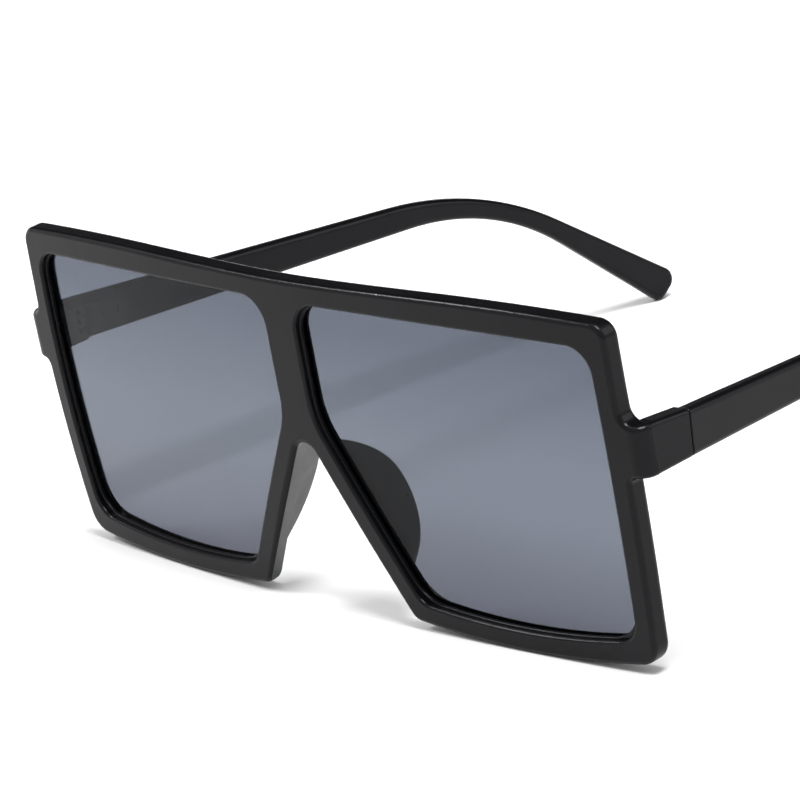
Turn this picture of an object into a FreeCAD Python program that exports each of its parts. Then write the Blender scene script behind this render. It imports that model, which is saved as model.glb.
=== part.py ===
"""Oversized flat-top sunglasses: a moulded front, two lenses and two folding temples.

Millimetres and degrees. +X is the wearer's left, -Y is where the wearer looks, +Z is up. The temples are open
and the part stands on its lower rims and temple tips. It is laid out with the foot of the bridge's middle
plane at the origin, and at the end it is moved so that the middle of its footprint is the origin.
"""
import FreeCAD, Part
import math
import os

Vector = FreeCAD.Vector

# Front, seen from the front
front_width = 151.0
front_height = 62.7
top_inset = 0.45
brow_fall = 1.1
brow_dip = 0.5
bottom_inset = 2.1
bottom_lift_outer = 1.8
bottom_lift_inner = 1.7
top_corner_radius = 3.1
bottom_corner_radius = 4.2
nose_corner_radius = 2.6
nose_foot = 19.1
nose_angle = 29.6
arch_radius = 3.25
widest_share = 0.55
brow_peak_share = 0.53
lowest_share = 0.4
side_bow_share = 0.33

# Rims and lens openings
bridge_width = 7.8
rim_top = 4.5
rim_side = 3.95
rim_bottom = 3.8
rim_nose = 4.15
opening_top_fall = 0.8
opening_top_bow = 0.36
opening_lift_outer = 2.0
opening_lift_inner = 1.5
opening_bottom_inset = 1.4
opening_top_inner_radius = 5.6
opening_top_outer_radius = 5.0
opening_bottom_outer_radius = 4.6
opening_bottom_inner_radius = 3.8
opening_kink_radius = 14.0
opening_lowest_share = 0.45

# Front, seen from above and from the side
front_thickness = 3.9
wrap_radius = 645.0
front_tilt_angle = 2.25
front_edge_radius = 0.9
back_edge_radius = 1.0
opening_edge_radius = 0.5
opening_back_radius = 0.8
bezel_step = 0.3
sight_outer_round = 2.2
sight_inner_round = 4.5
bezel_edge_radius = 0.2
bezel_limit_share = 0.9

# Lenses
lens_thickness = 1.1
lens_back_wall = 1.0
lens_lip = 0.7
lens_bite = 0.6
lens_clearance = 0.04

# Lugs and the hinge seam
lug_reach = 4.1
lug_thickness = 3.2
lug_top = 44.55
lug_height = 9.0
lug_corner_radius = 3.4
lug_root_top_radius = 2.6
lug_root_bottom_radius = 1.4
lug_turn_share = 1.1
lug_inset = 0.02
seam_depth = 14.5
seam_middle = 40.15
seam_height = 8.15
seam_gap = 0.16
seam_edge_radius = 0.2

# Nose pads
pad_rise = 0.45
pad_foot_gap = 5.4
pad_reach = 7.3
pad_thickness = 2.2
pad_flare_angle = 16.5
pad_edge_radius = 0.9
pad_along_shares = (0.0, 0.1, 0.24, 0.39, 0.56, 0.79, 0.9, 1.0)
pad_reach_shares = (0.0, 0.62, 0.94, 1.0, 0.92, 0.56, 0.24, 0.0)

# Temples, measured from the hinge axis along a middle line that drops towards the ear
temple_drop_angle = 3.2
temple_splay_angle = 5.8
temple_waist_thickness = 2.9
temple_tip_thickness = 3.2
temple_edge_radius = 1.1
bend_reach_top = 93.4
bend_rise_top = 2.2
bend_radius_top = 75.0
bend_offset = 2.5
bend_fall_bottom = 2.05
bend_radius_bottom = 57.0
tip_reach = 140.4
tip_fall = 28.3
tip_slant = 5.3
tip_top_radius = 2.6
tip_bottom_radius = 2.0
temple_waist_share = 0.6
along_limit_share = 0.9

# Hinges
barrel_diameter = 2.8
barrel_height = 0.95
barrel_count = 5
barrel_gap = 0.05
barrel_wall_gap = 0.1
pin_diameter = 1.4
pin_clearance = 0.03
leaf_thickness = 0.9
leaf_recess = 0.4
leaf_start = 1.7
leaf_overlap = 0.9
leaf_clearance = 0.02
leaf_corner_radius = 0.8
leaf_margin = 0.4
temple_leaf_length = 7.0
temple_leaf_margin = 1.0
screw_head_diameter = 2.4
screw_head_height = 0.5
screw_slot_width = 0.35
screw_slot_depth = 0.3
rivet_diameter = 1.0
rivet_clearance = 0.02
rivet_head_diameter = 1.7
rivet_head_height = 0.35
rivet_head_radius = 0.25
rivet_grip = 1.5
front_rivet_shares = ((0.5, -0.27), (0.5, 0.27))
temple_rivet_shares = ((0.28, 0.0), (0.76, 0.0))

# How far cutting shapes run past what they cut, and how near counts as touching
overrun = 20.0
touch = 0.01

half_width = front_width / 2
lug_face = half_width + lug_reach
lug_inner_face = lug_face - lug_thickness
lug_bottom = lug_top - lug_height
lens_depth = front_thickness - lens_back_wall - lens_thickness
bezel_depth = lens_depth - lens_lip
nose_lean = math.radians(nose_angle)
nose_slope = math.tan(nose_lean)
bend_reach_bottom = bend_reach_top + bend_offset
arch_centre = bottom_lift_inner + nose_foot / nose_slope - arch_radius / math.sin(nose_lean)
barrel_radius = barrel_diameter / 2
pin_radius = pin_diameter / 2
pin_x = lug_inner_face - barrel_wall_gap - barrel_radius
leaf_height = barrel_height * barrel_count
leaf_low = -leaf_height / 2
leaf_x = barrel_wall_gap + barrel_radius + leaf_recess - leaf_thickness
X_AXIS = Vector(1, 0, 0)
Y_AXIS = Vector(0, 1, 0)
Z_AXIS = Vector(0, 0, 1)
ORIGIN = Vector(0, 0, 0)
WRAP_CENTRE = Vector(0, wrap_radius, front_height / 2)
TILT = FreeCAD.Rotation(X_AXIS, front_tilt_angle)
DROP = FreeCAD.Rotation(X_AXIS, -temple_drop_angle)
HINGE = FreeCAD.Placement(Vector(pin_x, seam_depth, seam_middle), DROP)


def flip(point):
    """The same outline point on the wearer's other side."""
    return None if point is None else (-point[0], point[1])


def mirrored_back(path):
    """A path's mirror image, walked from its end to its start."""
    return [(flip(path[i][0]), flip(path[i + 1][1])) for i in range(len(path) - 2, -1, -1)]


def outline_face(path, place):
    """A closed face from (end, way) steps laid out by the function place.

    The way to an end is None for a line, a point for an arc and a list of points for a free curve.
    """
    edges = []
    for i, (end, way) in enumerate(path):
        start = path[i - 1][0]
        if way is None:
            curve = Part.LineSegment(place(start), place(end))
        elif isinstance(way, list):
            curve = Part.BSplineCurve()
            curve.interpolate([place(point) for point in [start] + way + [end]])
        else:
            curve = Part.Arc(place(start), place(way), place(end))
        edges.append(curve.toShape())
    return Part.Face(Part.Wire(edges))


def facing(point):
    """An outline point of the front view, in space."""
    return Vector(point[0], 0, point[1])


def from_above(point):
    """An outline point of the plan view, in space."""
    return Vector(point[0], point[1], 0)


def from_side(point):
    """An outline point of the side view, in space."""
    return Vector(0, point[0], point[1])


def round_long_edges(solid, corners, across):
    """Round the edges that stand at the given outline corners, seen along the axis not in across."""
    for corner, radius in corners:
        picked = []
        for edge in solid.Edges:
            ends = [tuple(getattr(v, a) for a in across) for v in edge.Vertexes]
            if len(ends) == 2 and all(math.dist(end, corner) < touch for end in ends):
                picked.append(edge)
        solid = solid.makeFillet(radius, picked)
    return solid


def points_on(edge):
    """An edge's start, middle and end."""
    first, last = edge.ParameterRange
    return [edge.valueAt(first), edge.valueAt((first + last) / 2), edge.valueAt(last)]


def wall_prism(path, corners):
    """An outline of the front carried through its thickness."""
    face = outline_face(path, facing)
    face.translate(Vector(0, -overrun, 0))
    solid = face.extrude(Vector(0, seam_depth + overrun * 2, 0))
    return round_long_edges(solid, corners, "XZ")


def wrap_at(x, z, depth):
    """How far back the curved front lies at a place of the front view, depth behind its face."""
    return wrap_radius - math.sqrt((wrap_radius - depth) ** 2 - x ** 2 - (z - WRAP_CENTRE.z) ** 2)


def layer(near, far, span):
    """The curved layer of the front between two depths behind its face, to span on both sides."""
    room = Part.makeBox(span * 2, seam_depth + overrun * 3, front_height + overrun * 2,
                        Vector(-span, -overrun * 2, -overrun))
    room = room.common(Part.makeSphere(wrap_radius - near, WRAP_CENTRE))
    return room.cut(Part.makeSphere(wrap_radius - far, WRAP_CENTRE))


def on_layer(edge, depth):
    """Whether an edge lies in the front's curved layer at this depth behind its face."""
    return all(abs(wrap_radius - depth - p.distanceToPoint(WRAP_CENTRE)) < touch for p in points_on(edge))


def tilted(solid):
    """A piece of the upright front leaned forward at its top."""
    return solid.rotated(ORIGIN, X_AXIS, front_tilt_angle)


def both_sides(shape):
    """A shape of the wearer's left side and its mirror image."""
    return {"left": shape, "right": shape.mirror(ORIGIN, X_AXIS)}


def nose_line(z, inset):
    """Half the nose gap at a height, measured inset into the rim."""
    return nose_foot + inset / math.cos(nose_lean) - (z - bottom_lift_inner) * nose_slope


def front_outline():
    """The front's outer outline with its lugs, and the radii of its corners."""
    arch_end = (arch_radius * math.cos(nose_lean), arch_centre + arch_radius * math.sin(nose_lean))
    foot = (nose_foot, bottom_lift_inner)
    bottom = (half_width - bottom_inset, bottom_lift_outer)
    top = (half_width - top_inset, front_height - brow_fall)
    brow = (half_width * brow_peak_share, front_height)
    dip = (0, front_height - brow_dip)
    lowest = (nose_foot + (bottom[0] - nose_foot) * lowest_share, 0)
    ear = lug_face + overrun
    root_top = (half_width - top_inset * (lug_top / front_height - widest_share), lug_top)
    root_bottom = (half_width, lug_bottom)
    side_low = (half_width - bottom_inset * side_bow_share, lug_bottom / 2)
    path = [(arch_end, None), (foot, None), (bottom, lowest), (root_bottom, side_low),
            ((ear, lug_bottom), None), ((ear, lug_top), None), (root_top, None), (top, None)]
    full = path + [(flip(top), [brow, dip, flip(brow)])] + mirrored_back(path)
    full[0] = (arch_end, (0, arch_centre + arch_radius))
    corners = [(foot, nose_corner_radius), (bottom, bottom_corner_radius), (top, top_corner_radius),
               (root_bottom, lug_root_bottom_radius), (root_top, lug_root_top_radius)]
    return full, corners + [(flip(corner), radius) for corner, radius in corners]


def opening_outline(grow, rounder=(0, 0)):
    """The wearer's left lens opening, made larger all round by grow, and the radii of its corners.

    The two lower corners, outer and inner, are made rounder.
    """
    inner = bridge_width / 2 - grow
    side = half_width - rim_side + grow
    floor = rim_bottom - grow
    rim = rim_nose - grow
    kink = (inner, bottom_lift_inner + (nose_line(bottom_lift_inner, rim) - inner) / nose_slope)
    ceiling = front_height - rim_top + grow
    top_inner = (inner, ceiling)
    top_outer = (side - top_inset, ceiling - opening_top_fall)
    top_middle = ((inner + top_outer[0]) / 2, ceiling - opening_top_fall / 2 + opening_top_bow)
    bottom_outer = (side - opening_bottom_inset, floor + opening_lift_outer)
    bottom_inner = (nose_line(floor + opening_lift_inner, rim), floor + opening_lift_inner)
    lowest = (bottom_inner[0] + (bottom_outer[0] - bottom_inner[0]) * opening_lowest_share, floor)
    path = [(top_inner, None), (top_outer, top_middle), (bottom_outer, (side, front_height / 2)),
            (bottom_inner, lowest), (kink, None)]
    corners = [(top_inner, opening_top_inner_radius + grow), (top_outer, opening_top_outer_radius + grow),
               (bottom_outer, opening_bottom_outer_radius + grow + rounder[0]),
               (bottom_inner, opening_bottom_inner_radius + grow + rounder[1]),
               (kink, opening_kink_radius - grow)]
    return path, corners


def opening_walls(grow, rounder=(0, 0)):
    """The prisms of both lens openings, made larger all round by grow and rounder at the lower corners."""
    return list(both_sides(wall_prism(*opening_outline(grow, rounder))).values())


def opening_cut(walls, near, far):
    """The prisms of both lens openings, between two depths behind the front's face."""
    room = layer(near, far, half_width)
    return [prism.common(room) for prism in walls]


def on_walls(edge, prisms):
    """Whether an edge lies in the walls of one of the prisms."""
    for prism in prisms:
        if all(prism.Shells[0].distToShape(Part.Vertex(p))[0] < touch for p in points_on(edge)):
            return True
    return False


def seam_point(height):
    """A place of the hinge seam in the side view of the upright front, height above the seam's middle."""
    point = TILT.inverted().multVec(HINGE.multVec(Vector(0, 0, height)))
    return point.y, point.z


def past(start, end):
    """A point on the line from start through end, the overrun beyond it."""
    run = overrun / math.dist(start, end)
    return end[0] + (end[0] - start[0]) * run, end[1] + (end[1] - start[1]) * run


def lug_block():
    """The wearer's left lug, from inside the plate to the hinge seam."""
    outer = lug_face - lug_inset
    back = wrap_at(outer, lug_bottom, front_thickness)
    bends = [(back, lug_top - lug_inset), (back, lug_bottom + lug_inset)]
    ends = [past(bends[0], seam_point(seam_height / 2)), past(bends[1], seam_point(-seam_height / 2))]
    points = [(-overrun, bends[0][1]), bends[0], ends[0], ends[1], bends[1], (-overrun, bends[1][1])]
    face = outline_face([(point, None) for point in points], from_side)
    face.translate(Vector(lug_inner_face, 0, 0))
    block = face.extrude(Vector(outer - lug_inner_face, 0, 0))
    rims = [edge for edge in block.Edges if all(abs(p.x - outer) < touch for p in points_on(edge))]
    block = block.makeFillet(front_edge_radius, [edge for edge in rims if edge.BoundBox.YLength > touch])
    root = front_thickness - back_edge_radius - lug_inset
    block = block.cut(layer(-overrun * 2, root, lug_face + overrun))
    return trim_at_seam(tilted(block), -1)


def lug():
    """The wearer's left lug with its hinge pocket."""
    return lug_block().cut(on_lug(leaf_pocket(front_leaf_length(), front_rivet_shares))).Solids[0]


def trim_at_seam(solid, side):
    """A lug or temple cut off at the hinge seam, the lug for side -1, with the new end's edges eased."""
    end = seam_gap / 2 * side
    size = seam_depth + lug_face + bend_reach_bottom
    start = end if side < 0 else end - size
    solid = solid.cut(at_hinge(Part.makeBox(size * 2, size, size * 2, Vector(-size, start, -size))))
    inverse = HINGE.inverse()
    edges = [edge for edge in solid.Edges
             if all(abs(inverse.multVec(p).y - end) < touch for p in points_on(edge))]
    return solid.makeFillet(seam_edge_radius, edges).Solids[0]


def front_plate():
    """The front without openings: the curved plate with the ears that carry the lugs, its edges rounded."""
    turn = min(lug_corner_radius, (front_thickness - back_edge_radius) * lug_turn_share)
    plate = layer(0, front_thickness, lug_face)
    ears = [edge for edge in plate.Edges if on_layer(edge, 0) and is_side(edge)]
    plate = plate.makeFillet(turn, ears).common(wall_prism(*front_outline()))
    plate = plate.makeFillet(front_edge_radius, [edge for edge in plate.Edges if on_layer(edge, 0)])
    back = [edge for edge in plate.Edges if on_layer(edge, front_thickness) and not is_side(edge)]
    return plate.makeFillet(back_edge_radius, back)


def is_side(edge):
    """Whether an edge lies in the outer face of a lug."""
    return all(abs(abs(p.x) - lug_face) < touch for p in points_on(edge))


def open_front():
    """The front with both openings, their bezels and the grooves that hold the lenses."""
    soft = min(opening_edge_radius, bezel_depth * bezel_limit_share)
    back = min(opening_back_radius, lens_back_wall * bezel_limit_share)
    wide = opening_walls(0)
    sight = opening_walls(-bezel_step, (sight_outer_round, sight_inner_round))
    front = front_plate().cut(opening_cut(wide, -overrun, bezel_depth))
    front = front.cut(opening_cut(sight, 0, front_thickness + overrun)).Solids[0]
    rims = [edge for edge in front.Edges if on_layer(edge, 0) and on_walls(edge, wide)]
    front = front.makeFillet(soft, rims)
    ledges = [edge for edge in front.Edges if on_layer(edge, bezel_depth) and on_walls(edge, sight)]
    front = front.makeFillet(bezel_edge_radius, ledges)
    backs = [edge for edge in front.Edges if on_layer(edge, front_thickness) and on_walls(edge, sight)]
    front = front.makeFillet(back, backs)
    seats = opening_walls(lens_bite - bezel_step + lens_clearance)
    groove = lens_depth - lens_clearance
    return front.cut(opening_cut(seats, groove, lens_depth + lens_thickness + lens_clearance))


def nose_draft(inset):
    """The nose gap's flared back part, measured inset into the rims."""
    depth = front_edge_radius
    reach = front_thickness + pad_reach + overrun
    flare = math.tan(math.radians(pad_flare_angle))
    wires = []
    for at in (depth, reach):
        grown = inset + (at - depth) * flare
        radius = arch_radius + grown
        end = (radius * math.cos(nose_lean), arch_centre + radius * math.sin(nose_lean))
        foot = (nose_line(-overrun, grown), -overrun)
        path = [(end, (0, arch_centre + radius)), (foot, None), (flip(foot), None), (flip(end), None)]
        wire = outline_face(path, facing).OuterWire
        wire.translate(Vector(0, at, 0))
        wires.append(wire)
    return Part.makeLoft(wires, True, True)


def pad_blank():
    """The two pads' side profile, carried across both nose sides."""
    top = arch_centre + arch_radius + pad_rise
    foot = bottom_lift_inner + pad_foot_gap
    root = front_thickness - back_edge_radius
    reach = pad_reach + back_edge_radius
    points = [from_side((root + reach * out, top + (foot - top) * along))
              for along, out in zip(pad_along_shares, pad_reach_shares)]
    curve = Part.BSplineCurve()
    curve.interpolate(Points=points)
    face = Part.Face(Part.Wire([curve.toShape(), Part.LineSegment(points[-1], points[0]).toShape()]))
    face.translate(Vector(-nose_foot - overrun, 0, 0))
    return face.extrude(Vector((nose_foot + overrun) * 2, 0, 0))


def is_pad_rim(edge):
    """Whether an edge of a pad is one of the two along its free rim."""
    return points_on(edge)[1].y > front_thickness + pad_edge_radius


def nose_pads():
    """The two flared pad flanges, with rounded rims."""
    shell = nose_draft(pad_thickness / math.cos(math.radians(pad_flare_angle)))
    flanges = shell.cut(nose_draft(0)).common(pad_blank())
    pads = []
    for pad in flanges.Solids:
        pads.append(pad.makeFillet(pad_edge_radius, [edge for edge in pad.Edges if is_pad_rim(edge)]))
    return pads


def front_frame():
    """The moulded front: plate, lens openings, nose pads and lugs."""
    front = tilted(open_front().cut(nose_draft(0)).fuse(nose_pads()))
    return front.fuse(list(both_sides(lug()).values())).removeSplitter().Solids[0]


def lens():
    """The wearer's left lens, which fills its groove to a small clearance."""
    room = layer(lens_depth, lens_depth + lens_thickness, half_width)
    return tilted(wall_prism(*opening_outline(lens_bite - bezel_step)).common(room)).Solids[0]


def temple_side(floor):
    """The temple seen from its side, as thick as the lug, with its lower tip corner at the height floor."""
    back = -lug_thickness
    bend_top = (bend_reach_top, bend_rise_top)
    bend_bottom = (bend_reach_bottom, -bend_fall_bottom)
    top_slope = (bend_rise_top - seam_height / 2) / bend_reach_top
    bottom_slope = (seam_height / 2 - bend_fall_bottom) / bend_reach_bottom
    tip_top = (tip_reach, -tip_fall)
    tip_bottom = (tip_reach - tip_slant, floor)
    points = [(back, seam_height / 2 + top_slope * back), bend_top, tip_top, tip_bottom, bend_bottom,
              (back, bottom_slope * back - seam_height / 2)]
    solid = outline_face([(point, None) for point in points], from_side).extrude(Vector(lug_thickness, 0, 0))
    solid.translate(Vector(lug_inner_face - pin_x, 0, 0))
    corners = [(bend_top, bend_radius_top), (bend_bottom, bend_radius_bottom), (tip_top, tip_top_radius),
               (tip_bottom, tip_bottom_radius)]
    return round_long_edges(solid, corners, "YZ")


def temple_plan():
    """The temple seen from above, as a solid through its whole height: flat at the hinge, then thinner."""
    outer = lug_face - pin_x
    flat = leaf_start + temple_leaf_length + temple_leaf_margin
    waist = flat + (tip_reach - flat) * temple_waist_share
    path = [((outer, -overrun), None), ((outer, tip_reach), None),
            ((outer - temple_tip_thickness, tip_reach), None),
            ((outer - lug_thickness, flat), (outer - temple_waist_thickness, waist)),
            ((outer - lug_thickness, -overrun), None)]
    face = outline_face(path, from_above)
    low = seam_middle + overrun
    face.translate(Vector(0, 0, -low))
    return face.extrude(Vector(0, 0, low + seam_height + overrun))


def is_temple_rim(edge):
    """Whether an edge runs along the temple, between its broad faces and its narrow ones."""
    start, middle, end = points_on(edge)
    along = (end - start).normalize()
    if abs(along.dot(X_AXIS)) > along_limit_share:
        return False
    return abs(along.dot(Z_AXIS)) < along_limit_share or middle.y > bend_reach_bottom


def seated_temple(floor):
    """The wearer's left temple, open, trimmed to the seam and with its hinge pocket."""
    arm = temple_side(floor).common(temple_plan()).Solids[0]
    arm = arm.makeFillet(temple_edge_radius, [edge for edge in arm.Edges if is_temple_rim(edge)])
    arm = trim_at_seam(on_temple(arm), 1)
    return arm.cut(on_temple(leaf_pocket(temple_leaf_length, temple_rivet_shares))).Solids[0]


def at_hinge(shape):
    """A shape of the hinge's own frame, where Z is the hinge axis and Y runs back, put in its place."""
    return shape.transformed(HINGE.toMatrix())


def on_lug(shape):
    """A hinge piece that was laid out behind the hinge axis, put in front of it on the lug."""
    return at_hinge(shape.mirror(ORIGIN, Y_AXIS))


def on_temple(shape):
    """A piece that was laid out behind the hinge axis, put on the open temple."""
    return at_hinge(shape.rotated(ORIGIN, Z_AXIS, temple_splay_angle))


def front_leaf_length():
    """The length of the front leaf's plate, up to a margin behind the front's plate."""
    low = seam_middle - leaf_height / 2
    plate_back = TILT.multVec(Vector(lug_inner_face, wrap_at(lug_inner_face, low, front_thickness), low)).y
    lean = math.sin(math.radians(temple_drop_angle)) * leaf_height / 2
    return seam_depth - lean - plate_back - leaf_margin - leaf_start


def leaf_plate(length, spare):
    """A hinge leaf's plate with its far corners rounded, larger by spare at its edges and seat."""
    far = leaf_start + length + spare
    low = leaf_low - spare
    high = leaf_low + leaf_height + spare
    plate = Part.makeBox(leaf_thickness + spare, far - leaf_start + spare, high - low,
                         Vector(leaf_x, leaf_start - spare, low))
    corners = [((far, low), leaf_corner_radius), ((far, high), leaf_corner_radius)]
    return round_long_edges(plate, corners, "YZ")


def rivet_rods(length, shares, radius, depth):
    """Rods through a leaf's plate at its rivet places, depth into what it sits on."""
    rods = []
    for along, aside in shares:
        place = Vector(leaf_x, leaf_start + length * along, leaf_height * aside)
        rods.append(Part.makeCylinder(radius, leaf_thickness + depth, place, X_AXIS))
    return rods


def leaf_pocket(length, shares):
    """The room that a leaf and its rivets take up in the plastic."""
    rods = rivet_rods(length, shares, rivet_diameter / 2 + rivet_clearance, rivet_grip + rivet_clearance)
    return leaf_plate(length, leaf_clearance).fuse(rods)


def rivets(length, shares):
    """A leaf's rivets, each with a rounded head on the plate."""
    pieces = []
    for rod in rivet_rods(length, shares, rivet_diameter / 2, rivet_grip):
        centre = Vector(leaf_x - rivet_head_height, rod.CenterOfMass.y, rod.CenterOfMass.z)
        head = Part.makeCylinder(rivet_head_diameter / 2, rivet_head_height, centre, X_AXIS)
        rim = [edge for edge in head.Edges if all(abs(p.x - centre.x) < touch for p in points_on(edge))]
        pieces.append(rod.fuse(head.makeFillet(rivet_head_radius, rim)).removeSplitter().Solids[0])
    return Part.makeCompound(pieces)


def hinge_leaf(length, first, shares):
    """A hinge leaf laid out behind its axis: the plate, and every second barrel from the first."""
    leaf = leaf_plate(length, 0)
    height = barrel_height - barrel_gap
    for i in range(first, barrel_count, 2):
        low = leaf_low + barrel_height * i + barrel_gap / 2
        finger = Part.makeBox(barrel_radius, leaf_start + leaf_overlap, height, Vector(0, 0, low))
        leaf = leaf.fuse([finger, Part.makeCylinder(barrel_radius, height, Vector(0, 0, low))])
    bore = Part.makeCylinder(pin_radius + pin_clearance, leaf_height, Vector(0, 0, leaf_low))
    holes = rivet_rods(length, shares, rivet_diameter / 2 + rivet_clearance, 0)
    return leaf.removeSplitter().cut([bore] + holes).Solids[0]


def hinge_screw():
    """The hinge screw on the hinge axis, its slotted head resting on the top barrel."""
    top = leaf_low + leaf_height - barrel_gap / 2
    shank = Part.makeCylinder(pin_radius, top - leaf_low, Vector(0, 0, leaf_low))
    head = Part.makeCylinder(screw_head_diameter / 2, screw_head_height, Vector(0, 0, top))
    slot = Part.makeBox(screw_slot_width, screw_head_diameter, screw_slot_depth,
                        Vector(-screw_slot_width / 2, -screw_head_diameter / 2,
                               top + screw_head_height - screw_slot_depth))
    return shank.fuse(head).cut(slot).Solids[0]


def lowest(shape):
    """The height of a shape's lowest point."""
    return shape.optimalBoundingBox(False, False).ZMin


def build():
    """Every piece by name, in the layout frame."""
    front = front_frame()
    table = tip_reach * math.tan(math.radians(temple_drop_angle)) - seam_middle
    sag = lowest(seated_temple(table)) - lowest(front)
    left = {
        "lens": lens(),
        "temple": seated_temple(table - sag),
        "front_leaf": on_lug(hinge_leaf(front_leaf_length(), 0, front_rivet_shares)),
        "temple_leaf": on_temple(hinge_leaf(temple_leaf_length, 1, temple_rivet_shares)),
        "hinge_screw": on_lug(hinge_screw()),
        "front_rivets": on_lug(rivets(front_leaf_length(), front_rivet_shares)),
        "temple_rivets": on_temple(rivets(temple_leaf_length, temple_rivet_shares)),
    }
    pieces = {"front_frame": front}
    for name, shape in left.items():
        for side, placed in both_sides(shape).items():
            pieces[name + "_" + side] = placed
    return pieces


os.makedirs("parts", exist_ok=True)
pieces = build()
box = Part.makeCompound(list(pieces.values())).optimalBoundingBox(False, False)
seat = Vector(-box.Center.x, -box.Center.y, -box.ZMin)
for name, shape in pieces.items():
    shape.translated(seat).exportStep("parts/" + name + ".step")
    print(name, shape.isValid(), shape.ShapeType, len(shape.Solids), round(shape.Volume, 2))
print("hinge", HINGE.Base + seat, "seat", seat, "size", box.XLength, box.YLength, box.ZLength)
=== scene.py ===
import math

import bpy
from mathutils import Matrix, Vector

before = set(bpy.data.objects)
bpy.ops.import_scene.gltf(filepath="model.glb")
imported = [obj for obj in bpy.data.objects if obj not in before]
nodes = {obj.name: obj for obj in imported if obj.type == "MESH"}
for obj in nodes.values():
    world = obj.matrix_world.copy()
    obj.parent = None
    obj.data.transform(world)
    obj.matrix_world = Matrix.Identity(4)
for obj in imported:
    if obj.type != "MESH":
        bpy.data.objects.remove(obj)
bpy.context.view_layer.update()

# The camera of the photograph: where it stands, where it looks, how it leans and its lens in millimetres
camera_place = Vector((0.56130, -0.51723, 0.27756))
camera_azimuth = math.radians(50.40)
camera_elevation = math.radians(18.643)
camera_roll = math.radians(9.871)
camera_lens = 198.0
camera_sensor = 36.0
camera_near = 0.01
camera_far = 50.0

# A noise is given as its cells a metre and its levels of detail. Most of its values lie in this range.
noise_middle = (0.3, 0.7)

# Black plastic of the front and the temples
plastic_pieces = ("front_frame", "temple_left", "temple_right")
plastic_black = (0.0018, 0.0018, 0.0023, 1.0)
plastic_bloom = (0.0036, 0.0036, 0.0044, 1.0)
plastic_sheen = (0.93, 0.92, 1.0, 1.0)
plastic_cloud = (90.0, 4.0)
plastic_shades = [(0.3, plastic_black), (0.75, plastic_bloom)]
plastic_gloss = (260.0, 3.0)
plastic_roughness = (0.27, 0.36)
plastic_skin = (2600.0, 2.0)
plastic_skin_depth = 0.000012
plastic_skin_strength = 0.35
plastic_ior = 1.5
plastic_specular = 0.07
plastic_coat = 0.15
plastic_coat_roughness = 0.12

# Dust on the plastic: a speck in the few cells whose random draw passes the pick. It fades out over the
# reach, which is in cells.
dust_grey = (0.32, 0.32, 0.33, 1.0)
dust_cells = 230.0
dust_reach = (0.022, 0.034)
dust_pick = (0.965, 0.97)

# Lens tint, from the lens's foot to its top: the grey is the lens's own tint, and the darker foot and top
# are painted shade standing in for the shaded floor and temples seen through the lens
lens_pieces = ("lens_left", "lens_right")
lens_foot_painted_shade = (0.106, 0.114, 0.144, 1.0)
lens_middle = (0.135, 0.150, 0.183, 1.0)
lens_top_painted_shade = (0.096, 0.109, 0.139, 1.0)
lens_heights = (0.004, 0.058)
lens_tint_and_painted_shade = [(0.06, lens_foot_painted_shade), (0.45, lens_middle), (0.62, lens_middle), (1.0, lens_top_painted_shade)]
lens_drift = (24.0, 1.0)
lens_drift_share = 0.12
lens_ior = 1.18

# Lacquer of the hinges, with fine level wear lines
hinge_dark = (0.012, 0.012, 0.013, 1.0)
hinge_worn = (0.030, 0.030, 0.032, 1.0)
hinge_lines = (900.0, 2.0)
hinge_line_squeeze = (1.0, 1.0, 12.0)
hinge_shades = [(0.35, hinge_dark), (0.75, hinge_worn)]
hinge_roughness = (0.3, 0.44)
hinge_line_depth = 0.00001
hinge_line_strength = 0.3
hinge_ior = 1.5
hinge_specular = 0.3

# Table: it turns from lit to plain white between these distances from the object
floor_size = 12.0
floor_white = (0.88, 0.88, 0.88, 1.0)
floor_fade = (0.35, 0.9)

# Black card behind and above the object
card_place = (-0.55, 0.75, 0.75)
card_target = (0.0, 0.0, 0.05)
card_width = 2.6
card_height = 1.5
card_black = (0.02, 0.02, 0.02, 1.0)
card_roughness = 0.9

# Room: what is seen of it is plain white, and its light on the object is dimmer
room_white = (1.0, 1.0, 1.0, 1.0)
room_seen = 1.0
room_light = 0.5

# Softboxes: where each stands, the point that it faces, its side and its power in watts
softboxes = {
    "top_box": ((0.40, -0.10, 1.25), (0.0, 0.0, 0.0), 0.5, 20.0),
    "left_box": ((-0.72, -0.46, 0.82), (0.0, -0.06, 0.03), 0.25, 5.0),
    "right_box": ((0.62, 0.5, 0.5), (0.06, 0.02, 0.0), 0.5, 1.5),
}


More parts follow.
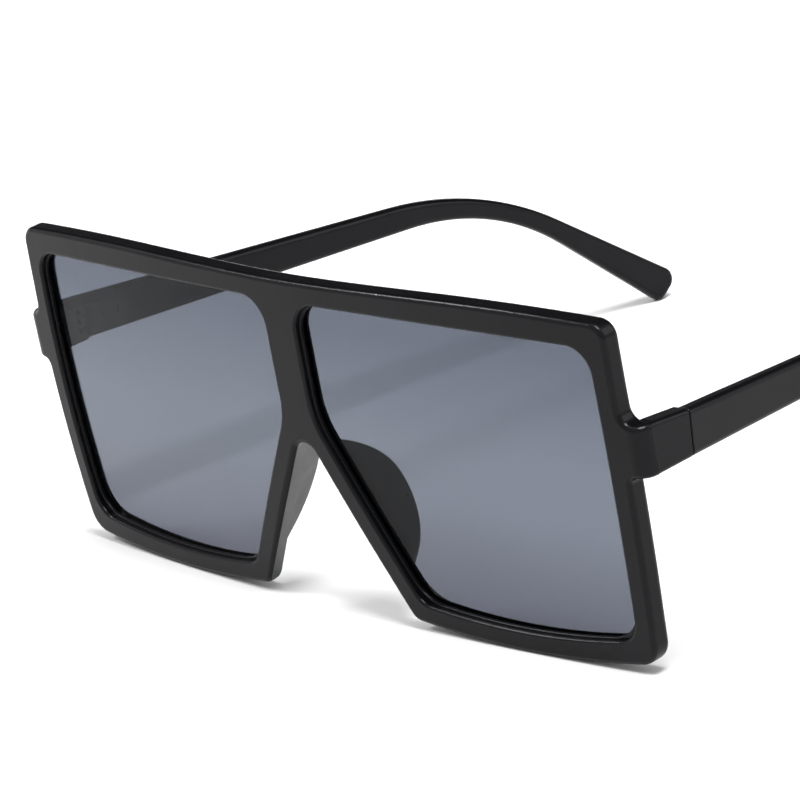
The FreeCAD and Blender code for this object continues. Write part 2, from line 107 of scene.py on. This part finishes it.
class Wiring:
    """Short ways to add and join the nodes of a material or of the world."""

    def __init__(self, owner):
        owner.use_nodes = True
        self.owner = owner
        self.tree = owner.node_tree

    def add(self, kind, inputs=None, **settings):
        """A node of this kind, with its settings and its unlinked inputs."""
        node = self.tree.nodes.new(kind)
        for name, value in settings.items():
            setattr(node, name, value)
        for name, value in (inputs or {}).items():
            node.inputs[name].default_value = value
        return node

    def join(self, source, target):
        self.tree.links.new(source, target)

    def place(self):
        """The piece's own coordinates."""
        return self.add("ShaderNodeTexCoord").outputs["Object"]

    def work_out(self, operation, *terms):
        """The result of a sum whose terms are sockets or plain numbers."""
        node = self.add("ShaderNodeMath", operation=operation)
        for socket, term in zip(node.inputs, terms):
            if isinstance(term, bpy.types.NodeSocket):
                self.join(term, socket)
            else:
                socket.default_value = term
        return node.outputs["Value"]

    def span(self, source, taken, given=(0.0, 1.0)):
        """A value in the first range, mapped to the second and held there."""
        node = self.add("ShaderNodeMapRange", {
            "From Min": taken[0], "From Max": taken[1], "To Min": given[0], "To Max": given[1]})
        self.join(source, node.inputs["Value"])
        return node.outputs["Result"]

    def seen_directly(self):
        """1 for what the camera sees, also in a mirror or through a lens, 0 for light on the object."""
        path = self.add("ShaderNodeLightPath").outputs
        mirrored = self.work_out("MAXIMUM", path["Is Camera Ray"], path["Is Glossy Ray"])
        return self.work_out("MAXIMUM", mirrored, path["Is Transmission Ray"])


def colour_socket(sockets, name):
    """The colour socket of this name, on a node that has others of the same name for numbers and vectors."""
    return next(socket for socket in sockets if socket.name == name and socket.type == "RGBA")


class Finish(Wiring):
    """A new material with a Principled shader."""

    def __init__(self, name):
        super().__init__(bpy.data.materials.new(name))
        self.shader = self.tree.nodes["Principled BSDF"]

    def set(self, **values):
        """Set the shader's own inputs, named with _ for a space."""
        for name, value in values.items():
            self.shader.inputs[name.replace("_", " ")].default_value = value

    def drive(self, name, source):
        """Give one of the shader's inputs its value from a socket."""
        self.join(source, self.shader.inputs[name])

    def noise(self, grain, squeeze=None):
        """Cloudy noise on the piece's own coordinates, squeezed along each axis where that is given."""
        cells, detail = grain
        source = self.place()
        if squeeze is not None:
            mapping = self.add("ShaderNodeMapping", {"Scale": squeeze})
            self.join(source, mapping.inputs["Vector"])
            source = mapping.outputs["Vector"]
        node = self.add("ShaderNodeTexNoise", {"Scale": cells, "Detail": detail})
        self.join(source, node.inputs["Vector"])
        return node.outputs["Fac"]

    def ramp(self, source, stops):
        """A colour ramp over (position, colour) stops."""
        node = self.add("ShaderNodeValToRGB")
        elements = node.color_ramp.elements
        elements[0].position, elements[0].color = stops[0]
        elements[1].position, elements[1].color = stops[-1]
        for position, colour in stops[1:-1]:
            elements.new(position).color = colour
        self.join(source, node.inputs["Fac"])
        return node.outputs["Color"]

    def cover(self, base, share, colour):
        """The base colour, covered by a plain colour where the share is 1."""
        node = self.add("ShaderNodeMix", data_type="RGBA")
        self.join(share, node.inputs["Factor"])
        self.join(base, colour_socket(node.inputs, "A"))
        colour_socket(node.inputs, "B").default_value = colour
        return colour_socket(node.outputs, "Result")

    def bump(self, height, depth, strength):
        node = self.add("ShaderNodeBump", {"Strength": strength, "Distance": depth})
        self.join(height, node.inputs["Height"])
        self.drive("Normal", node.outputs["Normal"])


def dust_specks(finish):
    """1 on the few specks of dust, 0 between them."""
    cells = finish.add("ShaderNodeTexVoronoi", {"Scale": dust_cells})
    finish.join(finish.place(), cells.inputs["Vector"])
    draw = finish.add("ShaderNodeSeparateColor")
    finish.join(cells.outputs["Color"], draw.inputs["Color"])
    near = finish.span(cells.outputs["Distance"], dust_reach, (1.0, 0.0))
    picked = finish.span(draw.outputs["Red"], dust_pick)
    return finish.work_out("MULTIPLY", near, picked)


def satin_black_plastic():
    """Injection-moulded black plastic: satin, faintly clouded, with a fine skin and a few specks of dust."""
    finish = Finish("satin_black_plastic")
    clean = finish.ramp(finish.noise(plastic_cloud), plastic_shades)
    finish.drive("Base Color", finish.cover(clean, dust_specks(finish), dust_grey))
    finish.drive("Roughness", finish.span(finish.noise(plastic_gloss), noise_middle, plastic_roughness))
    finish.bump(finish.noise(plastic_skin), plastic_skin_depth, plastic_skin_strength)
    finish.set(IOR=plastic_ior, Specular_IOR_Level=plastic_specular, Specular_Tint=plastic_sheen)
    finish.set(Coat_Weight=plastic_coat, Coat_Roughness=plastic_coat_roughness)
    return finish.owner


def tinted_lens():
    """Clear grey plastic lens, with painted shade that makes it a little darker towards its top and its
    foot.
    """
    finish = Finish("tinted_lens")
    split = finish.add("ShaderNodeSeparateXYZ")
    finish.join(finish.place(), split.inputs["Vector"])
    height = finish.span(split.outputs["Z"], lens_heights)
    drifted = finish.work_out("MULTIPLY_ADD", finish.noise(lens_drift), lens_drift_share, height)
    # Painted shade: the height ramp darkens the lens's foot and top around its own grey tint
    finish.drive("Base Color", finish.ramp(drifted, lens_tint_and_painted_shade))
    finish.set(IOR=lens_ior, Roughness=0.0, Transmission_Weight=1.0)
    return finish.owner


def blackened_hinge():
    """Black-lacquered metal of the hinge leaves, screws and rivets, a little worn along fine lines."""
    finish = Finish("blackened_hinge")
    lines = finish.noise(hinge_lines, hinge_line_squeeze)
    finish.drive("Base Color", finish.ramp(lines, hinge_shades))
    finish.drive("Roughness", finish.span(lines, noise_middle, hinge_roughness))
    finish.bump(lines, hinge_line_depth, hinge_line_strength)
    finish.set(IOR=hinge_ior, Specular_IOR_Level=hinge_specular)
    return finish.owner


def dress(name, material):
    """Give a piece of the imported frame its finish."""
    data = nodes[name].data
    data.materials.clear()
    data.materials.append(material)


def dress_all():
    """The plastic, the lenses and, for all other pieces, the hinge's lacquer."""
    plastic = satin_black_plastic()
    tint = tinted_lens()
    lacquer = blackened_hinge()
    for name in nodes:
        if name in plastic_pieces:
            dress(name, plastic)
        elif name in lens_pieces:
            dress(name, tint)
        else:
            dress(name, lacquer)


def facing(place, target, axis):
    """The turn that points this axis from a place to a target."""
    return (Vector(target) - Vector(place)).to_track_quat(axis, "Y")


def flat_sheet(name, width, height, material):
    """A level rectangle about the origin."""
    mesh = bpy.data.meshes.new(name)
    right, far = width / 2, height / 2
    corners = [(-right, -far, 0), (right, -far, 0), (right, far, 0), (-right, far, 0)]
    mesh.from_pydata(corners, [], [(0, 1, 2, 3)])
    mesh.materials.append(material)
    sheet = bpy.data.objects.new(name, mesh)
    bpy.context.scene.collection.objects.link(sheet)
    return sheet


def pale_floor():
    """The white table: it keeps the object's soft shadow, and is plain white where the lamps don't reach."""
    paint = Wiring(bpy.data.materials.new("pale_floor"))
    paint.tree.nodes.clear()
    away = paint.add("ShaderNodeVectorMath", operation="LENGTH")
    paint.join(paint.place(), away.inputs[0])
    fade = paint.span(away.outputs["Value"], floor_fade)
    glow = paint.add("ShaderNodeEmission")
    paint.join(paint.work_out("MULTIPLY", paint.seen_directly(), fade), glow.inputs["Strength"])
    body = paint.add("ShaderNodeBsdfDiffuse", {"Color": floor_white})
    both = paint.add("ShaderNodeAddShader")
    paint.join(body.outputs["BSDF"], both.inputs[0])
    paint.join(glow.outputs["Emission"], both.inputs[1])
    paint.join(both.outputs["Shader"], paint.add("ShaderNodeOutputMaterial").inputs["Surface"])
    floor = flat_sheet("floor", floor_size, floor_size, paint.owner)


def dark_card():
    """A black card out of the picture, which the upward faces mirror in place of the white room."""
    paint = Finish("black_card")
    paint.set(Base_Color=card_black, Roughness=card_roughness)
    card = flat_sheet("dark_card", card_width, card_height, paint.owner)
    turn = facing(card_place, card_target, "Z").to_matrix().to_4x4()
    card.data.transform(Matrix.Translation(card_place) @ turn)
    card.visible_camera = False
    card.visible_diffuse = False
    card.visible_shadow = False
    card.visible_transmission = False


def studio_world():
    """White around the set for what is seen directly, and an even soft light on the object."""
    room = Wiring(bpy.data.worlds.new("studio"))
    bpy.context.scene.world = room.owner
    room.tree.nodes.clear()
    soft = room.add("ShaderNodeBackground", {"Color": room_white, "Strength": room_light})
    seen = room.add("ShaderNodeBackground", {"Color": room_white, "Strength": room_seen})
    mix = room.add("ShaderNodeMixShader")
    room.join(room.seen_directly(), mix.inputs[0])
    room.join(soft.outputs["Background"], mix.inputs[1])
    room.join(seen.outputs["Background"], mix.inputs[2])
    room.join(mix.outputs["Shader"], room.add("ShaderNodeOutputWorld").inputs["Surface"])


def softbox(name, place, target, side, power):
    """A square softbox that faces a point and is not seen through the lenses."""
    data = bpy.data.lights.new(name, "AREA")
    data.shape = "SQUARE"
    data.size = side
    data.energy = power
    lamp = bpy.data.objects.new(name, data)
    lamp.location = place
    lamp.rotation_euler = facing(place, target, "-Z").to_euler()
    lamp.visible_transmission = False
    bpy.context.scene.collection.objects.link(lamp)


def photo_camera():
    """The camera of the photograph, with its lean."""
    turn, lift, lean = camera_azimuth, camera_elevation, camera_roll
    level = Vector((math.cos(turn), math.sin(turn), 0))
    ahead = Vector((-math.sin(turn) * math.cos(lift), math.cos(turn) * math.cos(lift), -math.sin(lift)))
    above = level.cross(ahead)
    right = level * math.cos(lean) - above * math.sin(lean)
    up = above * math.cos(lean) + level * math.sin(lean)
    data = bpy.data.cameras.new("photo_camera")
    data.lens = camera_lens
    data.sensor_width = camera_sensor
    data.sensor_fit = "HORIZONTAL"
    data.clip_start = camera_near
    data.clip_end = camera_far
    camera = bpy.data.objects.new("photo_camera", data)
    axes = Matrix((right, up, -ahead)).transposed()
    camera.matrix_world = Matrix.Translation(camera_place) @ axes.to_4x4()
    bpy.context.scene.collection.objects.link(camera)
    bpy.context.scene.camera = camera


dress_all()
photo_camera()
pale_floor()
dark_card()
studio_world()
for name, settings in softboxes.items():
    softbox(name, *settings)
bpy.context.scene.view_settings.view_transform = "Standard"
